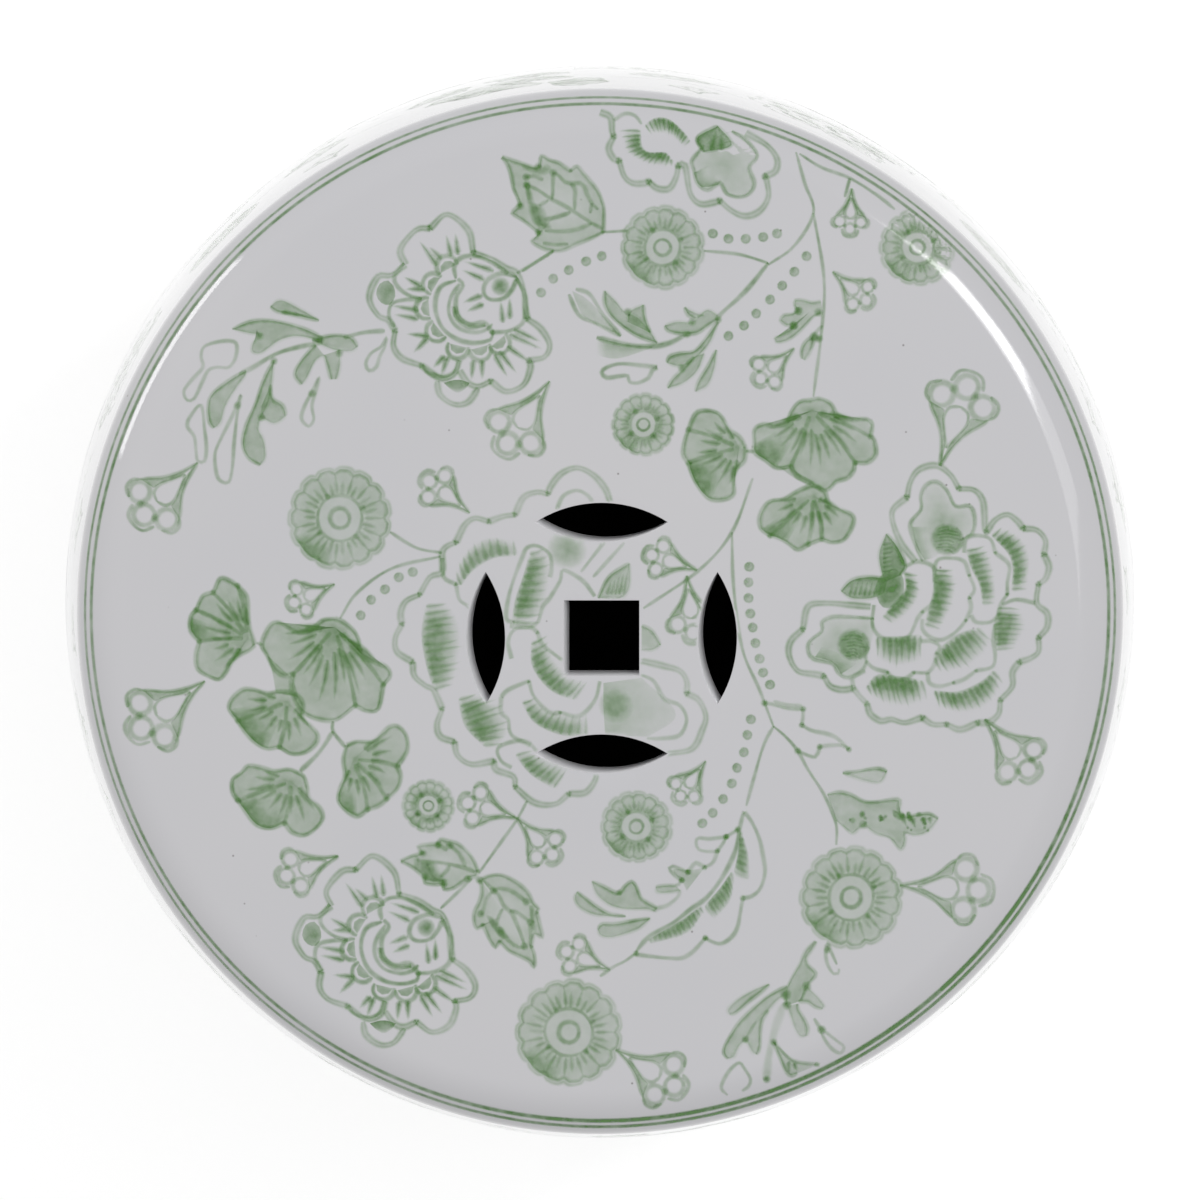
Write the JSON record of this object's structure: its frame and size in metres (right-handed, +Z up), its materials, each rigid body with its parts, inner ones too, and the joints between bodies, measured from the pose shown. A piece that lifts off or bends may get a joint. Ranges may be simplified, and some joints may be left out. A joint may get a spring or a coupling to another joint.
{
  "type": "garden stool",
  "caption": "Drum-shaped glazed ceramic garden stool with a rolled seat edge, a pierced coin motif in the seat and sides, and a hollow body on a turned foot ring.",
  "frame": {"origin": "on the floor, under the centre of the foot ring, on the axis of the barrel", "axes": "+Z up through the seat, +X towards one side piercing, -Y towards the edge of the seat that the coin stands nearer to"},
  "size_m": [0.3299, 0.33, 0.457],
  "materials": {
    "glaze": "clear high-gloss glaze over white stoneware, with a sage green floral transfer print under it",
    "fired_clay": "bare fired stoneware, matt and slightly rough",
    "pad_rubber": "soft grey translucent rubber"
  },
  "bodies": {
    "root": {"seat_cap": "glaze", "upper_wall": "glaze", "lower_wall": "glaze", "foot_ring": "fired_clay", "seat_seam_coil": "fired_clay", "belly_seam_coil": "fired_clay", "foot_seam_coil": "fired_clay", "floor_pads": "pad_rubber"}
  },
  "joints": []
}
